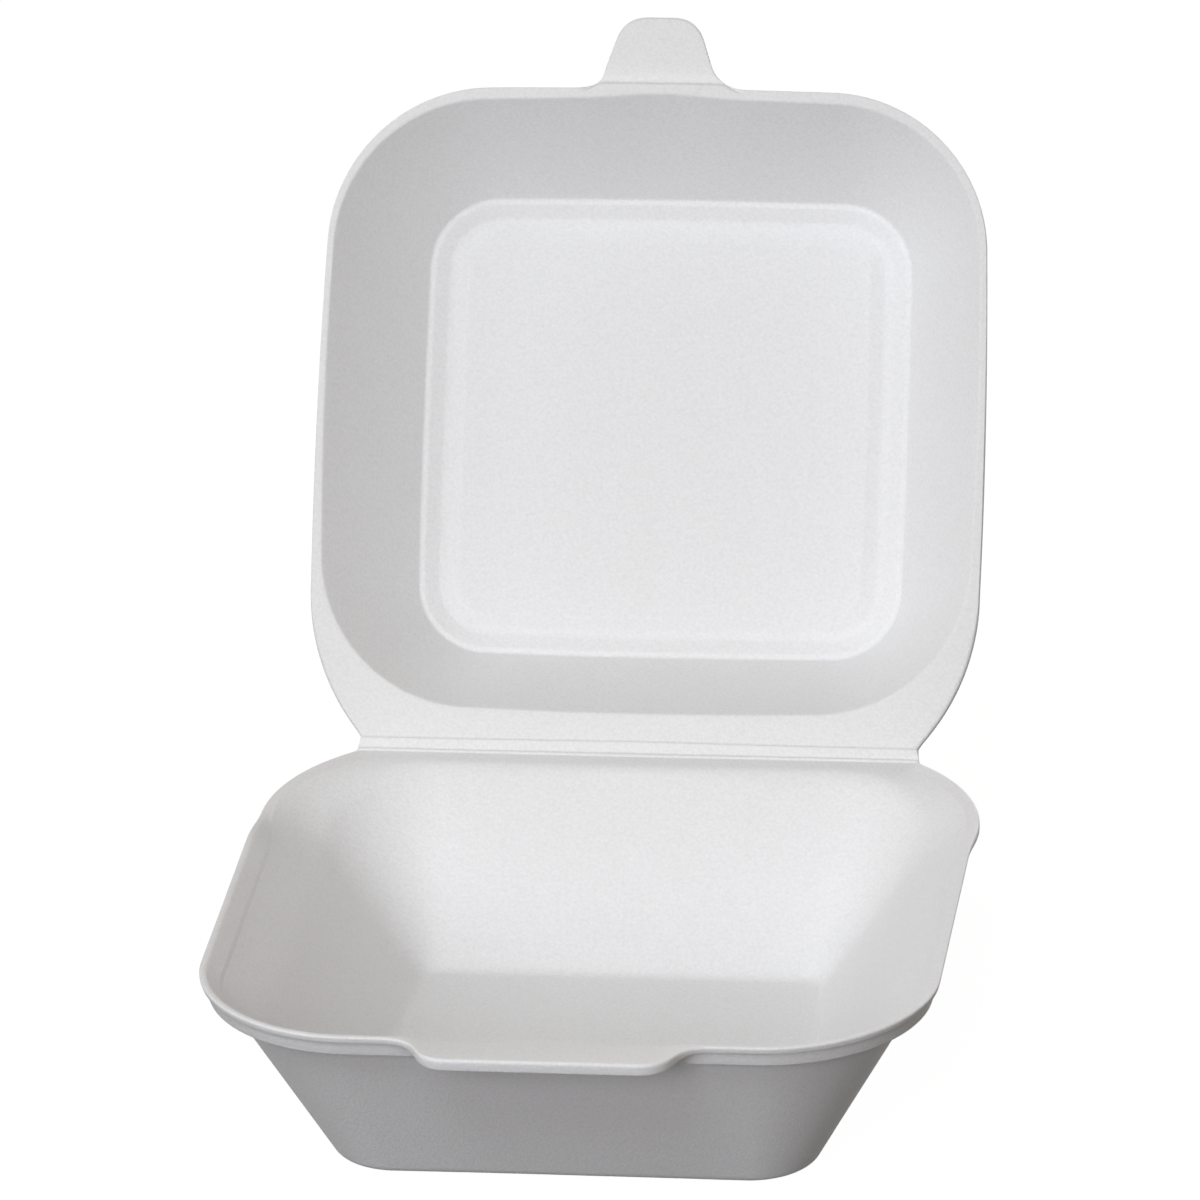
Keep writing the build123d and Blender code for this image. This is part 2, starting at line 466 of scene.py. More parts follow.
@dataclass
class FoamTray:
    """Tray: leaning walls, a sunk ledge inside a raised lip, a wide front tab and flat ears at the hinge.

    Its section runs from the floor up the wall to the brink, the ledge's foot and shelf, over the lip's crest
    and nose, under its chin and down the band to the wall's outside.
    """

    rim_half: float
    tab_tip: float
    lip_height: float
    hinge: Vector
    wall: float = 3.2
    floor: float = 2.2
    bottom_half: float = 49.0
    bottom_depth: float = 97.0
    bottom_radius: float = 13.0
    bottom_round: float = 2.8
    floor_round: float = 3.6
    floor_radius: float = 4.0
    floor_back_in: float = 5.0
    floor_taper: float = 0.095
    brink_drop: float = 9.0
    brink_round: float = 6.0
    shoulder_gap: float = 3.2
    rim_thickness: float = 2.0
    lip_step: float = 3.0
    lip_width: float = 3.6
    crest_inset: float = 1.5
    shelf_inset: float = 4.2
    shelf_rise: float = 0.3
    shelf_round: float = 0.5
    foot_inset: float = 4.65
    foot_drop: float = 0.7
    foot_round: float = 0.6
    crest_round: float = 1.2
    chin_inset: float = 0.35
    band_inset: float = 0.75
    band_taper: float = 0.75
    band_ear_inset: float = 0.5
    band_ear_taper: float = 0.4
    band_round: float = 0.35
    band_foot: float = 1.7
    band_foot_round: float = 0.5
    lip_thickness: float = 1.5
    under_inset: float = 1.0
    under_drop: float = 2.5
    wall_round: float = 0.8
    catch_reach: float = 1.4
    catch_half: float = 11.0
    rim_radius: float = 34.0
    rear_flange: float = 6.6
    ear_radius: float = 41.0
    ear_reach: float = 33.0
    lip_end_reach: float = 31.0
    lip_runout: float = 22.0
    ear_runout: float = 42.0
    ear_soften: float = 2.0
    hinge_half: float = 58.4
    hinge_ease: float = 0.9
    tab_length: float = 10.0
    tab_root_half: float = 28.5
    tab_tip_half: float = 23.5
    tab_rise: float = 0.6
    tab_dip: float = 0.8
    tab_lap: float = 0.9
    tab_root_cut: float = 4.6
    tab_tip_cut: float = 4.4
    edge_round: float = 0.8
    under_round: float = 0.8
    hinge_round: float = 0.4
    hinge_back_off: float = 0.85
    side_knot_share: float = 0.7
    side_steps: tuple[int, int] = (18, 22)
    nose_station: int = 6

    def __post_init__(self) -> None:
        """Works out the sizes that follow from the others."""
        self.rim_front = -self.tab_tip - self.tab_length
        self.ledge_z = self.lip_height - self.lip_step
        self.shoulder_half = self.rim_half - self.shoulder_gap
        self.shoulder_front = -self.rim_front + self.shoulder_gap
        self.lean = (self.shoulder_half - self.bottom_half) / self.ledge_z
        self.wall_level = self.wall * math.hypot(1.0, self.lean)
        self.shoulder_back = self.hinge.y - self.rear_flange + self.wall_level
        self.ledge_reach = self.shoulder_gap + self.wall_level
        front_end = self.rim_half - self.rim_radius
        tab = rounded_path(
            [
                (front_end, -self.rim_front),
                (self.tab_root_half, -self.rim_front),
                (self.tab_tip_half, self.tab_tip),
                (0.0, self.tab_tip),
            ],
            [self.tab_root_cut, self.tab_tip_cut],
        )
        self.front_edge = mirrored_path(tab, FRONT_STEPS)
        self.layout = RingLayout(
            front=(self.front_edge[:, 0] + front_end) / (2 * front_end),
            side=graded_shares([self.side_knot_share], list(self.side_steps)),
            back=np.linspace(0.0, 1.0, BACK_POINTS),
            corner=np.linspace(0.0, 1.0, CORNER_POINTS),
        )

    def wall_ring(self, height: float, inset: float) -> Rows:
        """Ring through the leaning wall.

        Args:
            height: Height of the ring.
            inset: How far it is drawn in from the wall's outer face.

        Returns:
            The ring's points.
        """
        share = height / self.ledge_z
        plan = self.layout.rounded_rectangle(
            self.bottom_half + (self.shoulder_half - self.bottom_half) * share - inset,
            -self.bottom_depth / 2 + (self.shoulder_front + self.bottom_depth / 2) * share + inset,
            self.bottom_depth / 2 + (self.shoulder_back - self.bottom_depth / 2) * share - inset,
            self.bottom_radius + (self.rim_radius - self.shoulder_gap - self.bottom_radius) * share - inset,
        )
        return raised(plan, height)

    def inner_ring(self, height: float) -> Rows:
        """Ring on the inner face of the wall, whose corners are tighter at the floor than those outside.

        Args:
            height: Height of the ring.

        Returns:
            The ring's points.
        """
        share = height / self.ledge_z
        climb = (height - self.floor) / (self.ledge_z - self.floor)
        top_radius = self.rim_radius - self.shoulder_gap - self.wall_level
        plan = self.layout.rounded_rectangle(
            self.bottom_half + (self.shoulder_half - self.bottom_half) * share - self.wall_level,
            -self.bottom_depth / 2 + (self.shoulder_front + self.bottom_depth / 2) * share + self.wall_level,
            self.bottom_depth / 2
            + (self.shoulder_back - self.bottom_depth / 2) * share
            - self.wall_level
            - self.floor_back_in * (1.0 - climb),
            self.floor_radius + (top_radius - self.floor_radius) * climb,
        )
        run_back = (plan[:, 1] - plan[:, 1].min()) / np.ptp(plan[:, 1])
        plan[:, 0] *= 1.0 - self.floor_taper * (1.0 - climb) * run_back
        return raised(plan, height)

    def rim_plan(self) -> np.ndarray:
        """Plan of the rim's edge without its tab: three straight sides, round front corners and the ears.

        Returns:
            Plan points, one row each.
        """
        layout = self.layout
        back = self.hinge.y - self.hinge_back_off
        plan = layout.rounded_rectangle(self.rim_half, -self.rim_front, back, self.rim_radius)
        root_y = self.hinge.y - self.ear_reach
        corner_y = self.rim_radius - self.rim_front
        side_length = root_y - corner_y
        plan[layout.span(Stretch.RIGHT), 1] = corner_y + side_length * layout.shares(Stretch.RIGHT)
        plan[layout.span(Stretch.LEFT), 1] = root_y - side_length * layout.shares(Stretch.LEFT)
        centre = (self.rim_half - self.ear_radius, root_y)
        EarArc(centre, self.ear_radius, back, self.hinge_half, self.hinge_ease).shape(plan, layout)
        return plan

    def flatness(self, plan: np.ndarray) -> np.ndarray:
        """How far the lip has run out into the flat ear, from 0 at the lip to 1 at the ear and the hinge."""
        lip_end = self.hinge.y - self.lip_end_reach
        return smooth_step((plan[:, 1] - lip_end + self.lip_runout) / self.lip_runout)

    def stations(self) -> list[Station]:
        """Stations of the tray's section, from the middle of its floor over the rim to that of its bottom.

        Returns:
            The stations in order.
        """
        rim = self.rim_plan()
        front = self.layout.span(Stretch.FRONT)
        edge = rim.copy()
        edge[front] = self.front_edge[:-1]
        flat = self.flatness(rim)
        lip = self.ledge_z + self.lip_step * (1.0 - flat)
        floor = self.inner_ring(self.floor)
        ledge = self.inner_ring(self.ledge_z)
        sunk = self.inner_ring(self.ledge_z - self.brink_drop)
        brink_flat = smooth_step((rim[:, 1] - self.hinge.y + self.ear_runout) / self.ear_runout)
        brink = sunk + (ledge - sunk) * brink_flat[:, None]
        under = self.wall_ring(self.ledge_z - self.under_drop, self.under_inset)
        bottom = self.wall_ring(0.0, 0.0)
        band_z = self.ledge_z - self.band_foot - (self.rim_thickness - self.band_foot) * flat
        under_reach = self.shoulder_gap + self.under_drop * self.lean

        tab = np.zeros(self.layout.count)
        tab[front] = (-self.rim_front - self.front_edge[:-1, 1]) / self.tab_length
        tip = lip + self.tab_rise * tab
        raised_lip = 1.0 - flat
        thinner = (self.rim_thickness - self.lip_thickness) * raised_lip * (1.0 - tab)
        chin_z = tip - self.rim_thickness + thinner - self.tab_lap * tab
        catch = np.zeros(self.layout.count)
        catch[front] = self.catch_reach * np.exp(-((rim[front, 0] / self.catch_half) ** 2))
        nose, chin = np.full(self.layout.count, self.edge_round), np.full(self.layout.count, self.under_round)
        nose[self.layout.hinge_span] = chin[self.layout.hinge_span] = self.hinge_round

        def over(inset: np.ndarray) -> np.ndarray:
            """Plan points on top of the rim, an inset in from its edge."""
            return rim + (ledge[:, :2] - rim) * ((inset + catch) / self.ledge_reach)[:, None]

        def below(inset: np.ndarray) -> np.ndarray:
            """Plan points under the rim, an inset in from its edge."""
            return rim + (under[:, :2] - rim) * (inset / under_reach)[:, None]

        soften = self.ear_soften * flat
        foot = raised(over(self.foot_inset - soften), self.ledge_z - self.foot_drop * raised_lip)
        shelf = raised(over(self.shelf_inset - soften), self.ledge_z + self.shelf_rise * raised_lip)
        crest = raised(over(self.crest_inset), lip - self.tab_dip * tab)
        chin_ring = raised(edge + below(self.chin_inset * raised_lip) - rim, chin_z)
        band = raised(below(self.band_inset + self.band_ear_inset * flat), chin_z - tip + lip)
        band_end = raised(below(self.band_inset + self.band_taper + self.band_ear_taper * flat), band_z)
        return [
            Station(shrunk(floor, POLE_SHARE), run=FLAT_RUN),
            Station(floor, self.floor_round, 8, LONG_RUN),
            Station(brink, self.brink_round, 6, MIDDLE_RUN),
            Station(foot, self.foot_round, 4),
            Station(shelf, self.shelf_round, 4, MIDDLE_RUN),
            Station(crest, self.crest_round, 6, MIDDLE_RUN),
            Station(raised(edge, tip), nose, 6, MIDDLE_RUN),
            Station(chin_ring, chin, 6, SHORT_RUN),
            Station(band, self.band_round, 4, MIDDLE_RUN),
            Station(band_end, self.band_foot_round, 4, MIDDLE_RUN),
            Station(under, self.wall_round, 4, LONG_RUN),
            Station(bottom, self.bottom_round, 8, FLAT_RUN),
            Station(shrunk(bottom, POLE_SHARE)),
        ]


@dataclass
class FoamLid:
    """Lid, drawn closed with the hinge's axis along X through its origin: walls, a ringed panel and a tongue.

    Its section runs from the panel over the ring and the ledge down the wall to the mouth, over the rim's
    step to its nose and back up the outside.
    """

    length: float
    wall: float = 1.6
    rim_thickness: float = 2.0
    rim_z: float = 0.15
    half: float = 70.9
    taper: float = 1.5
    bow: float = 0.5
    front_bow: float = 1.3
    corner_radius: float = 34.5
    ear_radius: float = 47.0
    ear_reach: float = 34.0
    rim_width: float = 1.5
    front_rim: float = 2.2
    rear_flange: float = 8.5
    mouth_radius: float = 32.6
    mouth_bow: float = 0.6
    depth: float = 26.95
    ledge_half: float = 52.0
    ledge_length: float = 98.4
    ledge_offset: float = 72.4
    ledge_radius: float = 15.0
    ledge_bow: float = 0.3
    ledge_flat: float = 1.2
    groove_depth: float = 1.25
    groove_run: float = 3.0
    groove_floor: float = 1.5
    panel_rise: float = 1.2
    panel_run: float = 3.0
    panel_round: float = 2.0
    groove_round: float = 1.6
    ledge_round: float = 0.8
    corner_round: float = 0.9
    mouth_round: float = 0.9
    wall_round: float = 0.8
    top_round: float = 2.5
    pocket_round: float = 1.0
    tongue_length: float = 15.8
    tongue_root_half: float = 13.0
    tongue_tip_half: float = 7.7
    tongue_shift: float = -1.1
    tongue_flare: float = 5.4
    tongue_round: float = 5.0
    tongue_lift: float = 2.95
    tongue_rise: float = 0.65
    boss_half: float = 12.2
    boss_fade: float = 5.2
    bulge: float = 1.0
    bulge_half: float = 11.0
    step_reach: float = 1.0
    step_share: float = 0.5
    step_run: float = 0.4
    step_limit_share: float = 0.5
    step_round: float = 0.5
    edge_round: float = 0.97
    hinge_round: float = 0.4
    hinge_back_off: float = 2.3
    hinge_half: float = 58.4
    hinge_ease: float = 0.9
    side_points: int = 37
    nose_station: int = 9

    def __post_init__(self) -> None:
        """Works out the sizes that follow from the others."""
        self.top_z = self.rim_z + self.depth + self.groove_depth + self.wall
        self.mouth_half = self.half - self.rim_width
        self.mouth_front = self.length - self.front_rim
        self.lean = (self.mouth_half - self.ledge_half) / self.depth
        self.wall_level = self.wall * math.hypot(1.0, self.lean)
        self.front_end = self.half - self.taper / 2 - self.corner_radius
        tongue = rounded_path(
            [
                (self.front_end, -self.length),
                (self.tongue_root_half, -self.length),
                (self.tongue_tip_half, -self.length - self.tongue_length),
                (0.0, -self.length - self.tongue_length),
            ],
            [self.tongue_flare, self.tongue_round],
        )
        self.front_edge = mirrored_path(tongue, FRONT_STEPS)
        self.layout = RingLayout(
            front=(self.front_edge[:, 0] + self.front_end) / (2 * self.front_end),
            side=np.linspace(0.0, 1.0, self.side_points),
            back=np.linspace(0.0, 1.0, BACK_POINTS),
            corner=np.linspace(0.0, 1.0, CORNER_POINTS),
        )

    def wall_ring(self, height: float | np.ndarray, outset: float) -> Rows:
        """Ring through the lid's wall.

        Args:
            height: Height of the ring, the same all round or one for each point.
            outset: How far it stands out from the wall's inner face.

        Returns:
            The ring's points.
        """
        mouth = self.layout.rounded_rectangle(
            self.mouth_half + outset - self.mouth_bow,
            -self.mouth_front - outset + self.mouth_bow,
            -self.rear_flange + outset - self.mouth_bow,
            self.mouth_radius + outset,
            self.mouth_bow,
        )
        share = (height - self.rim_z) / self.depth
        ledge = self.ring(-outset, 0.0)[:, :2]
        plan = mouth + (ledge - mouth) * np.broadcast_to(share, len(mouth))[:, None]
        return raised(plan, height)

    def ring(self, inset: float, height: float) -> Rows:
        """Ring of the panel at the lid's top.

        Args:
            inset: How far it is drawn in from the outer edge of the ledge.
            height: Height of the ring.

        Returns:
            The ring's points.
        """
        half_length = self.ledge_length / 2 - inset - self.ledge_bow
        plan = self.layout.rounded_rectangle(
            self.ledge_half - inset - self.ledge_bow,
            -self.ledge_offset - half_length,
            -self.ledge_offset + half_length,
            self.ledge_radius - inset,
            self.ledge_bow,
        )
        return raised(plan, height)

    def rim_plan(self) -> np.ndarray:
        """Plan of the rim's edge without its tongue: bowed sides, round front corners and the ears.

        Returns:
            Plan points, one row each.
        """
        layout = self.layout
        edge_x = self.front_end + self.corner_radius
        front_y = -self.length + self.front_bow * (self.front_end / self.half) ** 2
        low = front_y + self.corner_radius
        plan = layout.rounded_rectangle(edge_x, front_y, -self.hinge_back_off, self.corner_radius)
        front = layout.span(Stretch.FRONT)
        plan[front, 1] = -self.length + self.front_bow * (plan[front, 0] / self.half) ** 2

        def side(share: np.ndarray) -> np.ndarray:
            """Right-hand side from the front corner at share 0 to the ear at share 1."""
            start, end = np.array([edge_x, low]), np.array([self.half, -self.ear_reach])
            line = start + (end - start) * share[:, None]
            return line + np.column_stack([self.bow * 4.0 * share * (1.0 - share), np.zeros_like(share)])

        plan[layout.span(Stretch.RIGHT)] = side(layout.shares(Stretch.RIGHT))
        plan[layout.span(Stretch.LEFT)] = MIRROR * side(1.0 - layout.shares(Stretch.LEFT))
        centre = (self.half - self.ear_radius, -self.ear_reach)
        ears = EarArc(centre, self.ear_radius, -self.hinge_back_off, self.hinge_half, self.hinge_ease)
        ears.shape(plan, layout)
        return plan

    def stations(self) -> list[Station]:
        """Stations of the lid's section, from the middle of its panel over the rim to that of its top.

        Returns:
            The stations in order.
        """
        rim = self.rim_plan()
        front = self.layout.span(Stretch.FRONT)
        edge = rim.copy()
        reach = -self.front_edge[:-1, 1] - self.length
        edge[front, 0] = self.front_edge[:-1, 0] + self.tongue_shift * smooth_step(reach / self.tongue_flare)
        edge[front, 1] -= reach
        across = np.abs(rim[:, 0])
        lift = np.zeros(self.layout.count)
        boss_end = self.boss_half + self.boss_fade
        lift[front] = self.tongue_lift * smooth_step((boss_end - across[front]) / self.boss_fade)
        ledge_z = self.rim_z + self.depth
        groove_z = ledge_z + self.groove_depth
        panel_z = groove_z - self.panel_rise
        groove_in = self.ledge_flat + self.groove_run
        panel_in = groove_in + self.groove_floor
        tongue = lift / self.tongue_lift
        mouth = self.wall_ring(self.rim_z, 0.0)
        mouth[front, 1] -= self.bulge * np.exp(-((rim[front, 0] / self.bulge_half) ** 2))
        foot_share = self.step_share + (1.0 - self.step_share) * tongue
        foot = mouth[:, :2] + (rim - mouth[:, :2]) * foot_share[:, None]
        foot[:, 1] -= self.step_reach * tongue
        way = edge - foot
        way_length = np.maximum(np.linalg.norm(way, axis=1), self.step_run / self.step_limit_share)
        head = foot + way * (self.step_run / way_length)[:, None]
        nose = np.full(self.layout.count, self.edge_round)
        nose[self.layout.hinge_span] = self.hinge_round
        tip = lift.copy()
        tip[front] += self.tongue_rise * reach / self.tongue_length
        rim_top = self.rim_z + self.rim_thickness
        pocket_z = self.top_z - self.panel_rise
        panel = self.ring(panel_in + self.panel_run, panel_z)
        pocket = self.ring(panel_in + self.panel_run + self.wall, pocket_z)
        return [
            Station(shrunk(panel, POLE_SHARE), run=FLAT_RUN),
            Station(panel, self.panel_round, 5, MIDDLE_RUN),
            Station(self.ring(panel_in, groove_z), self.groove_round, 5),
            Station(self.ring(groove_in, groove_z), self.groove_round, 5, MIDDLE_RUN),
            Station(self.ring(self.ledge_flat, ledge_z), self.ledge_round, 4),
            Station(self.ring(0.0, ledge_z), self.corner_round, 5, LONG_RUN),
            Station(mouth, self.mouth_round, 5, MIDDLE_RUN),
            Station(raised(foot, self.rim_z), self.step_round, 3),
            Station(raised(head, self.rim_z + lift), self.step_round, 3, SHORT_RUN),
            Station(raised(edge, self.rim_z + tip), nose, 6, MIDDLE_RUN),
            Station(raised(edge, rim_top + tip), nose, 6, SHORT_RUN),
            Station(self.wall_ring(rim_top + lift, self.wall_level), self.wall_round, 4, LONG_RUN),
            Station(self.wall_ring(self.top_z, self.wall_level), self.top_round, 6, MIDDLE_RUN),
            Station(self.ring(panel_in + self.wall, self.top_z), self.pocket_round, 4, MIDDLE_RUN),
            Station(pocket, self.pocket_round, 4, FLAT_RUN),
            Station(shrunk(pocket, POLE_SHARE)),
        ]


@dataclass
class LiveHinge:
    """Hinge: a thin web between the two halves, pinched from behind, with a bead beside the tray's flange."""

    origin: Vector
    open_angle: float
    rows: int = 22
    pinch: float = 0.75
    bead: float = 0.3
    bead_share: float = 0.4
    press: float = 0.55
    press_share: float = 0.9
    blend_reach: float = 0.9

    def place(self, points: Rows) -> Rows:
        """Sets the closed lid's points where the open lid stands.

        Args:
            points: Points of the closed lid.

        Returns:
            The same points on the open lid.
        """
        turn = math.radians(-self.open_angle)
        y, z = points[..., 1], points[..., 2]
        turned = np.stack(
            [
                points[..., 0],
                y * math.cos(turn) - z * math.sin(turn),
                y * math.sin(turn) + z * math.cos(turn),
            ],
            axis=-1,
        )
        return turned + np.array(self.origin)

    @property
    def lean(self) -> float:
        """Angle of the hinge's web above the level, in radians, midway between the two flanges."""
        return math.radians(180.0 - self.open_angle) / 2

    def outward(self) -> np.ndarray:
        """Direction that points out behind the hinge, midway between the undersides of the two flanges."""
        return np.array([0.0, math.sin(self.lean), -math.cos(self.lean)])

    def across(self) -> Vector:
        """Direction across the hinge's web, from the tray to the lid."""
        return Vector((0.0, math.cos(self.lean), math.sin(self.lean)))

    def loop(self, grid: ShellGrid, layout: RingLayout, nose: int, first: int) -> HingeLoop:
        """Loop of a half's points round the opening that its faces leave at the hinge.

        Args:
            grid: The half's rows, in place.
            layout: The half's ring layout.
            nose: Station at the top of the rim's edge.
            first: Index of the half's first point in the moulding.

        Returns:
            The loop, from the right-hand end along the top, down the left-hand end and back below.
        """
        top, below = grid.first[nose], grid.last[nose + 1]
        right, left = layout.start(Stretch.BACK), layout.start(Stretch.BACK_LEFT)
        pairs = [(top, column) for column in range(right, left + 1)]
        pairs += [(row, left) for row in range(top + 1, below)]
        pairs += [(below, column) for column in range(left, right - 1, -1)]
        pairs += [(row, right) for row in range(below - 1, top, -1)]
        rows, columns = np.array(pairs).T
        depth = (rows - top) / (below - top)
        return HingeLoop(first + rows * layout.count + columns, grid.rows[rows, columns], depth)

    def between(self, tray: HingeLoop, lid: HingeLoop) -> list[Rows]:
        """Loops of the web between the two halves.

        Args:
            tray: The tray's loop.
            lid: The lid's loop.

        Returns:
            The loops, from the tray's side to the lid's.
        """
        outward = self.outward()
        up_lid = self.place(np.array([[0.0, -1.0, 0.0]]))[0] - np.array(self.origin)
        tray_end = tray.points.copy()
        tray_end[:, 1] = self.origin.y
        lid_end = lid.points - ((lid.points - np.array(self.origin)) @ up_lid)[:, None] * up_lid
        bend = (tray_end + lid_end) / 2
        loops: list[Rows] = []
        for t in np.linspace(0.0, 1.0, self.rows + 2)[1:-1]:
            points = (1 - t) ** 2 * tray.points + 2 * t * (1 - t) * bend + t**2 * lid.points
            pinched = self.pinch * math.sin(math.pi * t) ** 2 * tray.depth
            beaded = self.bead * math.sin(math.pi * min(t / self.bead_share, 1.0))
            ramp = np.interp(t, [self.bead_share, self.press_share, 1.0], [0.0, self.press, 0.0])
            loops.append(points - outward * (pinched + (beaded + ramp) * (1.0 - tray.depth))[:, None])
        return loops


def linear(hex_colour: str) -> tuple[float, float, float, float]:
    """Linear colour of an sRGB hex value.

    Args:
        hex_colour: Six hex digits.

    Returns:
        Red, green and blue as light, and full alpha.
    """
    channels = [int(hex_colour[i : i + 2], 16) / 255 for i in (0, 2, 4)]
    light = [c / 12.92 if c <= 0.04045 else ((c + 0.055) / 1.055) ** 2.4 for c in channels]
    return (light[0], light[1], light[2], 1.0)


def add_node(
    tree: bpy.types.NodeTree,
    kind: str,
    inputs: dict[str | int, Any] | None = None,
    **settings: Any,
) -> bpy.types.Node:
    """Adds a node, with its settings and what feeds its sockets.

    Args:
        tree: The tree that the node goes in.
        kind: The node's type.
        inputs: A value or another node's output for each input socket named or numbered.
        settings: The node's own properties.

    Returns:
        The node.
    """
    node = tree.nodes.new(kind)
    for name, value in settings.items():
        setattr(node, name, value)
    for name, value in (inputs or {}).items():
        if isinstance(value, Socket):
            tree.links.new(value, node.inputs[name])
        else:
            node.inputs[name].default_value = value
    return node


@dataclass(frozen=True)
class FoamFinish:
    """Extruded polystyrene foam, thermoformed: a matt white skin over fine closed cells.

    The eye gets a soft, nearly shadowless white, a faint satin at grazing angles and a grain of cells
    about half a millimetre across. The cells are drawn a little coarser than that, so that they show.
    """

    colour: str = "F4F4F5"
    shade: str = "EAEAEB"
    roughness: float = 0.6
    gloss: float = 0.3
    cell_mm: float = 0.65
    cloud_mm: float = 0.7
    bump_mm: float = 0.08
    bump_strength: float = 0.65
    cell_weight: float = 0.6
    cloud_detail: float = 4.0
    tone_low: float = 0.35
    tone_high: float = 1.15

    def material(self) -> bpy.types.Material:
        """Builds the foam's material.

        Returns:
            The material.
        """
        material = bpy.data.materials.new("polystyrene_foam")
        material.use_nodes = True
        tree = material.node_tree
        tree.nodes.clear()
        place = add_node(tree, "ShaderNodeTexCoord").outputs["Object"]
        cells = add_node(
            tree, "ShaderNodeTexVoronoi", {"Vector": place, "Scale": 1.0 / (self.cell_mm * MM)}, feature="F1"
        )
        clouds = add_node(
            tree,
            "ShaderNodeTexNoise",
            {"Vector": place, "Scale": 1.0 / (self.cloud_mm * MM), "Detail": self.cloud_detail},
        )
        grain = add_node(
            tree,
            "ShaderNodeMath",
            {0: cells.outputs["Distance"], 1: self.cell_weight, 2: clouds.outputs["Fac"]},
            operation="MULTIPLY_ADD",
        )
        tone = add_node(
            tree,
            "ShaderNodeMapRange",
            {"Value": grain.outputs[0], "From Min": self.tone_low, "From Max": self.tone_high},
        )
        colour = add_node(
            tree,
            "ShaderNodeMix",
            {0: tone.outputs["Result"], 6: linear(self.colour), 7: linear(self.shade)},
            data_type="RGBA",
        )
        bump = add_node(
            tree,
            "ShaderNodeBump",
            {
                "Height": cells.outputs["Distance"],
                "Distance": self.bump_mm * MM,
                "Strength": self.bump_strength,
            },
        )
        shader = add_node(
            tree,
            "ShaderNodeBsdfPrincipled",
            {
                "Base Color": colour.outputs[2],
                "Roughness": self.roughness,
                "Specular IOR Level": self.gloss,
                "Normal": bump.outputs["Normal"],
            },
        )
        add_node(tree, "ShaderNodeOutputMaterial", {"Surface": shader.outputs["BSDF"]})
        return material


@dataclass(frozen=True)
class FoamSkin:
    """Slow unevenness of a thermoformed skin, which real foam shows along its edges and walls."""

    wave_mm: float = 26.0
    height_mm: float = 0.14
    detail: float = 2.0
    seed: float = 7.0

    def tree(self, material: bpy.types.Material) -> bpy.types.NodeTree:
        """Builds the node tree that waves a mesh's skin along its normals.

        Args:
            material: The material that the skin gets.

        Returns:
            The tree, with the wave's size, its height and its seed as named inputs.
        """
        tree = bpy.data.node_groups.new("foam_skin", "GeometryNodeTree")
        tree.interface.new_socket("Geometry", in_out="INPUT", socket_type="NodeSocketGeometry")
        for name in ("Wave Size", "Wave Height", "Seed"):
            tree.interface.new_socket(name, in_out="INPUT", socket_type="NodeSocketFloat")
        tree.interface.new_socket("Geometry", in_out="OUTPUT", socket_type="NodeSocketGeometry")
        given = add_node(tree, "NodeGroupInput").outputs
        scale = add_node(tree, "ShaderNodeMath", {0: 1.0, 1: given["Wave Size"]}, operation="DIVIDE")
        noise = add_node(
            tree,
            "ShaderNodeTexNoise",
            {
                "Vector": add_node(tree, "GeometryNodeInputPosition").outputs[0],
                "Scale": scale.outputs[0],
                "W": given["Seed"],
                "Detail": self.detail,
            },
            noise_dimensions="4D",
        )
        centred = add_node(tree, "ShaderNodeMath", {0: noise.outputs["Fac"], 1: 0.5}, operation="SUBTRACT")
        height = add_node(
            tree, "ShaderNodeMath", {0: centred.outputs[0], 1: given["Wave Height"]}, operation="MULTIPLY"
        )
        offset = add_node(
            tree,
            "ShaderNodeVectorMath",
            {0: add_node(tree, "GeometryNodeInputNormal").outputs[0], "Scale": height.outputs[0]},
            operation="SCALE",
        )
        moved = add_node(
            tree, "GeometryNodeSetPosition", {"Geometry": given["Geometry"], "Offset": offset.outputs[0]}
        )
        real = add_node(tree, "GeometryNodeRealizeInstances", {"Geometry": moved.outputs[0]})
        dressed = add_node(
            tree, "GeometryNodeSetMaterial", {"Geometry": real.outputs[0], "Material": material}
        )
        add_node(tree, "NodeGroupOutput", {"Geometry": dressed.outputs[0]})
        return tree

    def dress(self, piece: bpy.types.Object, material: bpy.types.Material) -> None:
        """Gives a piece its waved skin and its material, as a plain mesh.

        Args:
            piece: The piece.
            material: Its material.
        """
        tree = self.tree(material)
        modifier = piece.modifiers.new("foam_skin", "NODES")
        modifier.node_group = tree
        values = {"Wave Size": self.wave_mm * MM, "Wave Height": self.height_mm * MM, "Seed": self.seed}
        for socket in tree.interface.items_tree:
            if socket.in_out == "INPUT" and socket.name in values:
                modifier[socket.identifier] = values[socket.name]
        graph = bpy.context.evaluated_depsgraph_get()
        mesh = bpy.data.meshes.new_from_object(piece.evaluated_get(graph), depsgraph=graph)
        piece.modifiers.remove(modifier)
        piece.data = mesh


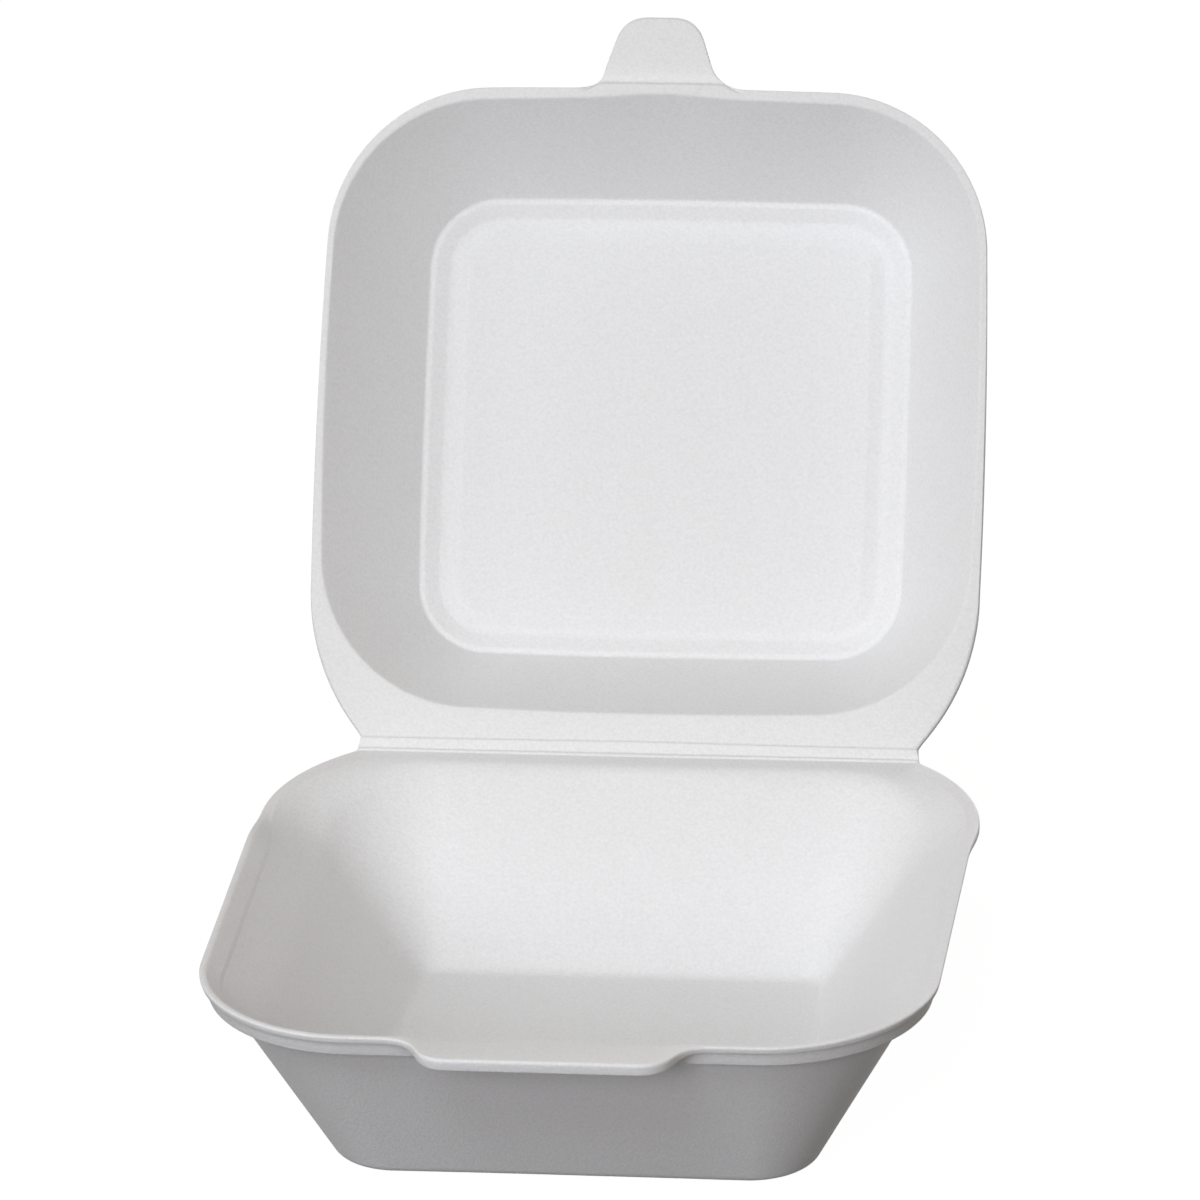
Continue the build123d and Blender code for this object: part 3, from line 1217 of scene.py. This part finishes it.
@dataclass
class FoamBox:
    """The whole moulding: tray, hinge and lid as one sheet."""

    tray: FoamTray
    lid: FoamLid
    hinge: LiveHinge
    finish: FoamFinish = FoamFinish()
    skin: FoamSkin = FoamSkin()

    def build(self) -> bpy.types.Object:
        """Builds the box as one closed mesh, bakes its placement and hides the model's tray and lid.

        Returns:
            The finished piece.
        """
        tray, lid = loft(self.tray.stations()), loft(self.lid.stations())
        lid.rows = self.hinge.place(lid.rows)
        moulding = Moulding()
        loops: list[HingeLoop] = []
        for half, grid, flipped in ((self.tray, tray, False), (self.lid, lid, True)):
            layout, nose = half.layout, half.nose_station
            gap = (slice(grid.first[nose], grid.last[nose + 1]), layout.span(Stretch.BACK))
            first = moulding.add_shell(grid, flipped, gap)
            loops.append(self.hinge.loop(grid, layout, nose, first))
        moulding.add_web(loops[0], loops[1], self.hinge.between(loops[0], loops[1]))
        piece = bpy.data.objects.new("foam_box", moulding.mesh("foam_box"))
        bpy.context.scene.collection.objects.link(piece)
        self.skin.dress(piece, self.finish.material())
        self.join(piece)
        LOG.info("%s: %d faces", piece.name, len(piece.data.polygons))
        return piece

    def join(self, piece: bpy.types.Object) -> None:
        """Bakes the piece's placement into its mesh and hides the model's tray and lid.

        Args:
            piece: The whole moulding.
        """
        reach = self.hinge.across() * self.hinge.blend_reach
        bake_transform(piece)
        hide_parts("tray", "lid")


@dataclass(frozen=True)
class SoftLight:
    """A large soft lamp, aimed at the box from a bearing and a height in degrees, with its power in watts."""

    name: str
    bearing: float
    height: float
    power: float
    colour: str
    distance: float = 1600.0
    size: float = 700.0

    def build(self, target: Vector) -> None:
        """Hangs the lamp.

        Args:
            target: The point that it is aimed at, in metres.
        """
        lamp = bpy.data.lights.new(self.name, "AREA")
        lamp.shape = "DISK"
        lamp.size = self.size * MM
        lamp.energy = self.power
        lamp.color = linear(self.colour)[:3]
        a, e = math.radians(self.bearing), math.radians(self.height)
        away = Vector((math.sin(a) * math.cos(e), -math.cos(a) * math.cos(e), math.sin(e)))
        holder = bpy.data.objects.new(self.name, lamp)
        holder.location = target + away * self.distance * MM
        holder.rotation_euler = away.to_track_quat("Z", "Y").to_euler()
        bpy.context.scene.collection.objects.link(holder)


@dataclass(frozen=True)
class Studio:
    """Plain white studio: a floor that the camera sees as white, soft lamps and even light from all round."""

    aim: tuple[float, float, float] = (0.0, 30.0, 70.0)
    ambient: float = 0.273
    fill_colour: str = "FFF1E0"
    floor_half: float = 3000.0
    floor_colour: str = "505050"
    floor_glow: float = 0.97
    lamps: tuple[SoftLight, ...] = (
        SoftLight("front_light", bearing=-10.0, height=20.0, power=8.94, colour="F9F9FF"),
        SoftLight("top_light", bearing=-10.0, height=50.0, power=6.49, colour="F0F9FF"),
        SoftLight("side_light", bearing=-60.0, height=35.0, power=3.71, colour="F5FBFF"),
        SoftLight("back_light", bearing=160.0, height=12.0, power=10.0, colour="F9F9FF"),
    )

    def world(self) -> None:
        """Lights the scene evenly, and shows white where the camera looks past the floor."""
        world = bpy.data.worlds.new("studio")
        world.use_nodes = True
        tree = world.node_tree
        tree.nodes.clear()
        light = add_node(
            tree, "ShaderNodeBackground", {"Color": linear(self.fill_colour), "Strength": self.ambient}
        )
        white = add_node(tree, "ShaderNodeBackground", {"Color": linear("FFFFFF"), "Strength": 1.0})
        shown = self.seen(tree)
        mixed = add_node(
            tree, "ShaderNodeMixShader", {0: shown, 1: light.outputs[0], 2: white.outputs[0]}
        )
        add_node(tree, "ShaderNodeOutputWorld", {"Surface": mixed.outputs[0]})
        bpy.context.scene.world = world

    def seen(self, tree: bpy.types.NodeTree) -> Socket:
        """Socket that is 1 for what the camera sees, by itself or in a reflection or through glass.

        Args:
            tree: The tree that asks.

        Returns:
            The socket.
        """
        path = add_node(tree, "ShaderNodeLightPath").outputs
        gloss = add_node(
            tree,
            "ShaderNodeMath",
            {0: path["Is Glossy Ray"], 1: path["Is Transmission Ray"]},
            operation="MAXIMUM",
        )
        seen = add_node(
            tree, "ShaderNodeMath", {0: path["Is Camera Ray"], 1: gloss.outputs[0]}, operation="MAXIMUM"
        )
        return seen.outputs[0]

    def floor(self) -> bpy.types.Object:
        """Lays the floor: its own grey carries a faint shadow, and the glow that the camera sees is white.

        Returns:
            The floor.
        """
        h = self.floor_half * MM
        mesh = bpy.data.meshes.new("floor")
        mesh.from_pydata([(-h, -h, 0.0), (h, -h, 0.0), (h, h, 0.0), (-h, h, 0.0)], [], [(0, 1, 2, 3)])
        material = bpy.data.materials.new("studio_floor")
        material.use_nodes = True
        tree = material.node_tree
        tree.nodes.clear()
        matt = add_node(tree, "ShaderNodeBsdfDiffuse", {"Color": linear(self.floor_colour)})
        strength = add_node(
            tree, "ShaderNodeMath", {0: self.seen(tree), 1: self.floor_glow}, operation="MULTIPLY"
        )
        glow = add_node(tree, "ShaderNodeEmission", {"Strength": strength.outputs[0]})
        both = add_node(tree, "ShaderNodeAddShader", {0: matt.outputs[0], 1: glow.outputs[0]})
        add_node(tree, "ShaderNodeOutputMaterial", {"Surface": both.outputs[0]})
        mesh.materials.append(material)
        floor = bpy.data.objects.new("floor", mesh)
        bpy.context.scene.collection.objects.link(floor)
        return floor

    def build(self) -> None:
        """Sets up the floor, the world and the lamps."""
        self.floor()
        self.world()
        for lamp in self.lamps:
            lamp.build(Vector(self.aim) * MM)
            LOG.info("%s: %.2f W", lamp.name, lamp.power)


@dataclass(frozen=True)
class LongLens:
    """Camera a long way off, at the photograph's bearing, height and tilt in degrees."""

    target: tuple[float, float, float] = (3.37, 1.48, 105.1)
    bearing: float = 8.03
    height: float = 23.45
    tilt: float = -1.99
    distance: float = 2219.7
    lens: float = 330.4
    sensor: float = 36.0

    def build(self) -> None:
        """Makes the camera and hands it to the scene."""
        a, e, t = (math.radians(angle) for angle in (self.bearing, self.height, self.tilt))
        back = Vector((math.sin(a) * math.cos(e), -math.cos(a) * math.cos(e), math.sin(e)))
        level = (-back).cross(Vector((0.0, 0.0, 1.0))).normalized()
        upright = level.cross(-back)
        right = level * math.cos(t) + upright * math.sin(t)
        up = upright * math.cos(t) - level * math.sin(t)
        data = bpy.data.cameras.new("camera")
        data.lens, data.sensor_width = self.lens, self.sensor
        camera = bpy.data.objects.new("camera", data)
        turn = Matrix((right, up, back)).transposed().to_4x4()
        camera.matrix_world = Matrix.Translation((Vector(self.target) + back * self.distance) * MM) @ turn
        bpy.context.scene.collection.objects.link(camera)
        bpy.context.scene.camera = camera


def main() -> None:
    """Builds the box, sized from the model's tray and hinge, the studio and the camera."""
    logging.basicConfig(level=logging.INFO, format="%(name)s %(message)s")
    bpy.context.scene.view_settings.view_transform = "Standard"
    joint = frame["joints"][0]
    hinge = Vector(joint["pos_m"]) / MM
    low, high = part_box("tray")
    tray = FoamTray(rim_half=high.x / MM, tab_tip=low.y / MM, lip_height=high.z / MM, hinge=hinge)
    lid = FoamLid(length=tray.rim_front + hinge.y - tray.lip_width - RIM_CLEARANCE)
    box = FoamBox(tray, lid, LiveHinge(hinge, -joint["range_deg"][0]))
    box.build()
    Studio().build()
    LongLens().build()


if __name__ == "__main__":
    main()
